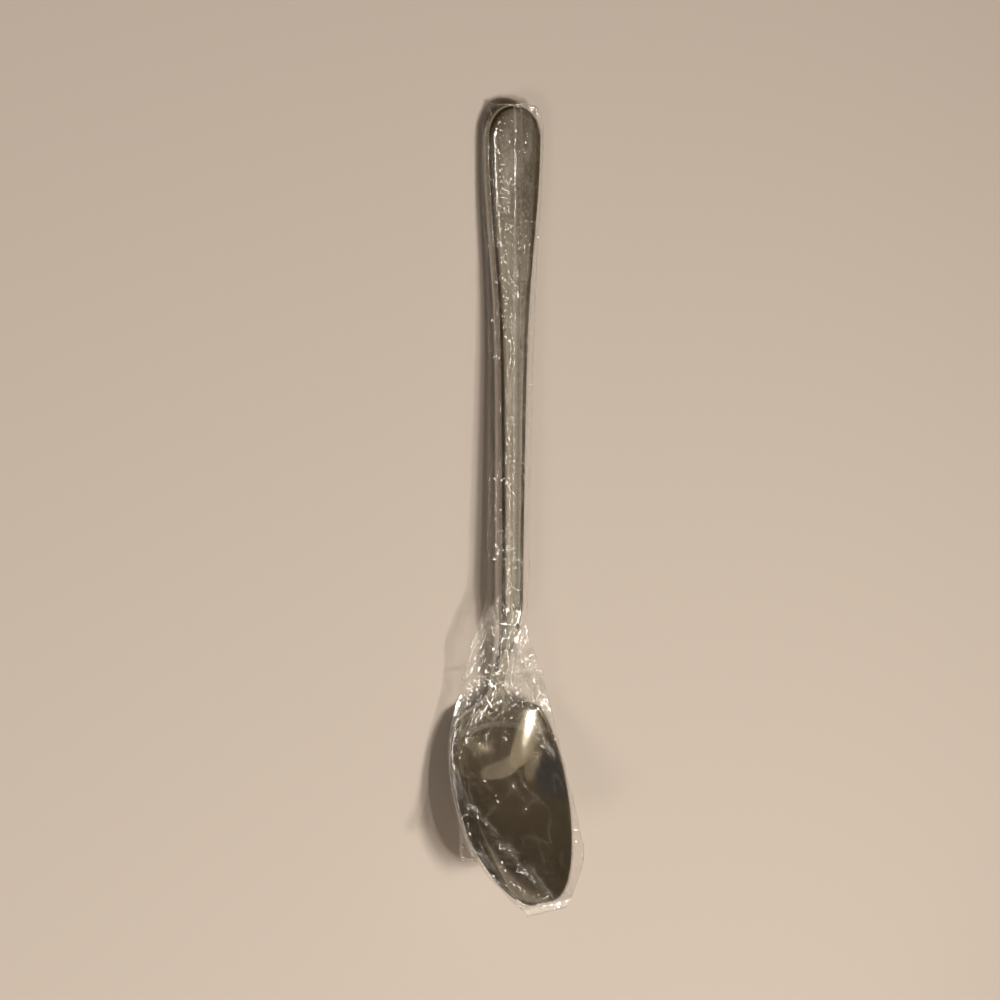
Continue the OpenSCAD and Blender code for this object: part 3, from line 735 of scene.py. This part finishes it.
class Nodes:
    """A material or a world under construction. place is the piece's own coordinates, or in a world
    the direction looked in."""

    def __init__(self, name, world=False):
        self.made = (bpy.data.worlds if world else bpy.data.materials).new(name)
        self.made.use_nodes = True
        self.tree = self.made.node_tree
        self.tree.nodes.clear()
        self.out = self.tree.nodes.new("ShaderNodeOutput" + ("World" if world else "Material"))
        self.place = self.add("TexCoord").outputs["Generated" if world else "Object"]

    def add(self, kind, options=(), **inputs):
        """A node with its options, and its inputs by name, or by number as i0, i1 and so on. Each
        input gets a value, or a link where it is given another node's output."""
        n = self.tree.nodes.new("ShaderNode" + kind)
        for key, value in dict(options).items():
            setattr(n, key, value)
        for key, value in inputs.items():
            by_number = key[0] == "i" and key[1:].isdigit()
            port = n.inputs[int(key[1:]) if by_number else key.replace("_", " ")]
            if isinstance(value, bpy.types.NodeSocket):
                self.tree.links.new(value, port)
            else:
                port.default_value = value
        return n

    def math(self, operation, a, b=0.0):
        return self.add("Math", {"operation": operation}, i0=a, i1=b).outputs[0]

    def scaled(self, scale, turn=(0, 0, 0)):
        return self.add("Mapping", Vector=self.place, Scale=scale, Rotation=turn).outputs[0]

    def noise(self, scale, detail, vector=None):
        node = self.add("TexNoise", Vector=vector or self.place, Scale=scale, Detail=detail)
        return node.outputs["Fac"]

    def amount(self, name):
        """An amount that the piece's mesh carries by point, and 0 where it carries none."""
        return self.add("Attribute", {"attribute_name": name}).outputs["Fac"]

    def vector(self, operation, a, b=(0, 0, 0)):
        return self.add("VectorMath", {"operation": operation}, i0=a, i1=b).outputs[0]

    def length(self, vector):
        return self.add("VectorMath", {"operation": "LENGTH"}, i0=vector).outputs["Value"]

    def span(self, value, a, b, c, d):
        """value from a to b is stretched to c to d and clamped."""
        return self.add("MapRange", i0=value, i1=a, i2=b, i3=c, i4=d).outputs[0]

    def blend(self, share, a, b):
        return self.add("Mix", {"data_type": "RGBA"}, Factor=share, i6=a, i7=b).outputs[2]

    def mixed(self, share, a, b):
        """Shader node a where share is 0, b where it is 1."""
        return self.add("MixShader", i0=share, i1=a.outputs[0], i2=b.outputs[0])

    def seen(self, *kinds):
        """1 for the named kinds of ray: what the eye, a mirror or glass sees."""
        rays = self.add("LightPath").outputs
        share = rays[f"Is {kinds[0]} Ray"]
        for kind in kinds[1:]:
            share = self.math("MAXIMUM", share, rays[f"Is {kind} Ray"])
        return share

    def finish(self, shader):
        self.tree.links.new(shader, self.out.inputs["Surface"])
        return self.made


def polished_steel(name, colour, shade, rough):
    """Mirror-polished steel that has been handled: fine polishing lines along the spoon, short
    scratches in two directions, and faint smears where the polish is duller. Down the sides of the
    handle, towards the soldered seam, it is painted darker: painted shade that stands in for the dark
    room that the side walls mirror."""
    n = Nodes(name)
    lines = n.noise(1.0, 2, n.scaled((60, 2600, 2600)))
    smear = n.noise(1.0, 4, n.scaled((50, 110, 110), (0, 0, 0.5)))
    cloud = n.noise(45, 3)
    scratch = []
    for turn, scale in ((0.5, (240, 4200, 4200)), (-0.9, (300, 5200, 5200))):
        fine = n.noise(1.0, 1, n.scaled(scale, (0, 0, turn)))
        scratch.append(n.span(fine, 0.70, 0.76, 0, 1))
    marks = n.math("MAXIMUM", scratch[0], scratch[1])
    dull = n.span(smear, 0.35, 0.7, rough, rough + 0.1)
    rough_at = n.math("ADD", dull, n.math("MULTIPLY", marks, 0.12))
    height = n.math("ADD", n.math("MULTIPLY", lines, 0.35), n.math("MULTIPLY", marks, -0.6))
    bump = n.add("Bump", Strength=0.12, Distance=0.00006, Height=height)
    tone = n.math("MULTIPLY", n.span(cloud, 0.35, 0.65, 0.0, 1.0), 0.8)
    # painted shade: the side walls darken towards the seam to the dark colour below, in place of the
    # dark room they mirror
    side = n.math("MULTIPLY", n.amount("side"), 0.65)
    steel = n.blend(side, n.blend(tone, colour, shade), (0.17, 0.14, 0.1, 1))
    bsdf = n.add("BsdfPrincipled", Base_Color=steel, Metallic=1.0, Roughness=rough_at,
                 Normal=bump.outputs[0])
    return n.finish(bsdf.outputs[0])


def set_cement():
    """Grey-white cement with grains and pores."""
    n = Nodes("cement")
    grain, pores = n.noise(900, 4), n.noise(260, 3)
    bump = n.add("Bump", Strength=0.5, Distance=0.0002, Height=n.math("ADD", grain, pores))
    colour = n.blend(n.span(pores, 0.3, 0.7, 0, 1), (0.46, 0.44, 0.4, 1), (0.63, 0.6, 0.55, 1))
    bsdf = n.add("BsdfPrincipled", Base_Color=colour, Roughness=0.85, Normal=bump.outputs[0])
    return n.finish(bsdf.outputs[0])


def clear_film():
    """Thin film: clear where it faces the eye, brighter where it turns away, milky by the amount that
    the mesh carries, partly a painted highlight in creases, edges and seal, with fine wrinkles that
    break up what it mirrors."""
    n = Nodes("clear_film")
    crinkle = n.amount("crinkle")
    fine, coarse = n.noise(900, 2), n.noise(230, 3)
    net = n.add("TexVoronoi", {"feature": "DISTANCE_TO_EDGE"}, Vector=n.place, Scale=430.0)
    net = n.math("ADD", fine, net.outputs["Distance"])
    height = n.math("ADD", n.math("MULTIPLY", net, crinkle), coarse)
    bump = n.add("Bump", Strength=n.span(crinkle, 0, 1, 0.1, 0.5), Distance=0.0005, Height=height)
    # small flat cells, each tilted its own way by as much as the film is crinkled
    cells = n.add("TexVoronoi", Vector=n.place, Scale=1150.0).outputs["Color"]
    tilt = n.add("VectorMath", {"operation": "SCALE"}, Scale=n.span(crinkle, 0, 1, 0.04, 0.9),
                 i0=n.vector("SUBTRACT", cells, (0.5, 0.5, 0.5))).outputs[0]
    facing = n.vector("NORMALIZE", n.vector("ADD", bump.outputs[0], tilt))
    fresnel = n.add("Fresnel", IOR=1.5, Normal=facing).outputs[0]
    gloss = n.add("BsdfGlossy", Color=(1, 1, 1, 1), Roughness=0.11, Normal=facing)
    clear = n.add("BsdfTransparent", Color=(0.985, 0.985, 0.98, 1))
    # the milky colour: the film's haze, and where the amount is high a painted highlight
    milk_and_painted_highlight = n.add("BsdfPrincipled", Base_Color=(0.86, 0.8, 0.71, 1), Roughness=0.45)
    shine = n.mixed(n.math("MINIMUM", fresnel, 0.3), clear, gloss)
    return n.finish(n.mixed(n.amount("haze_and_painted_highlight"), shine, milk_and_painted_highlight).outputs[0])


bowl_steel = polished_steel("bowl_steel", (0.61, 0.565, 0.49, 1), (0.46, 0.42, 0.35, 1), 0.07)
handle_steel = polished_steel("handle_steel", (0.62, 0.58, 0.51, 1), (0.55, 0.505, 0.44, 1), 0.12)
bowl_piece.data.materials.append(bowl_steel)
for piece in (front_piece, back_piece):
    piece.data.materials.append(handle_steel)
film_piece.data.materials.append(clear_film())
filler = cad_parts["handle_filler"]
filler.data.materials.clear()
filler.data.materials.append(set_cement())


# ---------------------------------------------------------------- camera, floor and light

def place_camera():
    """The viewing place and direction of the photograph: a long lens above the spoon and to its left,
    with the bowl below."""
    cam = bpy.data.cameras.new("camera")
    cam.sensor_width = 36.0
    cam.lens = 79.2
    obj = bpy.data.objects.new("camera", cam)
    bpy.context.scene.collection.objects.link(obj)
    right, down = (0.02886, -0.76889, 0.63873), (-0.99159, 0.05865, 0.11541)
    ahead = (-0.1262, -0.63668, -0.76073)
    pose = Matrix.Identity(4)
    for i in range(3):
        pose[i][0], pose[i][1], pose[i][2] = right[i], -down[i], -ahead[i]
    pose.translation = ((257.09 + TIP_AT) * MM, 535.25 * MM, 642.82 * MM)
    obj.matrix_world = pose
    bpy.context.scene.camera = obj


def soft_light(name, at, size, power):
    """A warm square lamp in metres, turned to the middle of the spoon."""
    light = bpy.data.lights.new(name, "AREA")
    light.shape = "SQUARE"
    light.size = size
    light.energy = power
    light.color = (1, 0.95, 0.88)
    obj = bpy.data.objects.new(name, light)
    bpy.context.scene.collection.objects.link(obj)
    obj.location = at
    obj.rotation_euler = (-Vector(at)).to_track_quat("-Z", "Y").to_euler()
    return obj


PALE = (0.57, 0.475, 0.385, 1)  # the lit floor's tone, for what lies far off


def make_stage():
    """The pale floor, the lamps and the room. From 0.35 m out the floor eases to its own lit tone, as
    the eye, steel and film see it, so that it stays pale far from the lamps."""
    mesh = bpy.data.meshes.new("floor")
    mesh.from_pydata([(-3, -3, 0), (3, -3, 0), (3, 3, 0), (-3, 3, 0)], [], [(0, 1, 2, 3)])
    floor = bpy.data.objects.new("floor", mesh)
    bpy.context.scene.collection.objects.link(floor)
    n = Nodes("floor_paint")
    bsdf = n.add("BsdfPrincipled", Base_Color=(0.6, 0.525, 0.465, 1), Roughness=0.9)
    far = n.math("MULTIPLY", n.span(n.length(n.place), 0.35, 0.95, 0, 1),
                 n.seen("Camera", "Glossy", "Transmission"))
    flat = n.add("Emission", Color=PALE, Strength=1.0)
    mesh.materials.append(n.finish(n.mixed(far, bsdf, flat).outputs[0]))
    bpy.context.scene.world = studio_world()
    key = soft_light("key", (-0.46, -0.3, 1.15), 0.22, 10.5)
    key.visible_glossy = False
    soft_light("sparkle", (-0.46, -0.04, 1.2), 0.055, 3.5)
    soft_light("second", (-0.5, 0.95, 0.6), 0.2, 3)
    # small lamps that only the film mirrors, off to the sides of what its level parts mirror
    film_only = bpy.data.collections.new("film_only")
    film_only.objects.link(film_piece)
    for k, at in enumerate(((-0.6, -1.0, 0.5), (-0.35, -0.2, 1.2), (0.3, -0.25, 1.15))):
        glint = soft_light(f"glint_{k}", at, 0.24, 5)
        glint.light_linking.receiver_collection = film_only
        glint.visible_diffuse = False


def studio_world():
    """A dim warm room, darker towards the horizon, with four pale panels overhead and a dark bluish
    opening on the left. Each is an ellipse round a direction (x, y), given as its middle, its radii,
    the share of them that is even, and its colour. Seen directly, and as a mirror shows it near the
    horizon, the room has the floor's pale tone."""
    n = Nodes("studio", world=True)
    height = n.add("SeparateXYZ", Vector=n.place).outputs["Z"]
    colour = n.blend(height, (0.035, 0.024, 0.012, 1), (0.092, 0.064, 0.032, 1))
    panels = (((-0.06, -0.4), (0.17, 0.36), 0.9, (0.44, 0.375, 0.29, 1)),
              ((-0.16, -0.06), (0.18, 0.32), 0.8, (0.62, 0.51, 0.37, 1)),
              ((-0.5, -0.63), (0.19, 0.2), 0.7, (0.56, 0.465, 0.345, 1)),
              ((0.08, 0.24), (0.24, 0.2), 0.6, (0.4, 0.33, 0.24, 1)),
              ((0.2, 0.6), (0.32, 0.28), 0.9, (0.03, 0.034, 0.052, 1)))
    for (mx, my), (rx, ry), core, tint in panels:
        offset = n.add("VectorMath", {"operation": "MULTIPLY_ADD"}, i0=n.place,
                       i1=(1 / rx, 1 / ry, 0), i2=(-mx / rx, -my / ry, 0)).outputs[0]
        colour = n.blend(n.span(n.length(offset), core, 1.0, 1.0, 0.0), colour, tint)
    level = n.math("MULTIPLY", n.span(height, 0.03, 0.09, 1, 0), n.seen("Glossy", "Transmission"))
    colour = n.blend(n.math("MAXIMUM", level, n.seen("Camera")), colour, PALE)
    return n.finish(n.add("Background", Color=colour, Strength=1.0).outputs[0])


place_camera()
make_stage()
bpy.context.scene.view_settings.view_transform = "Standard"
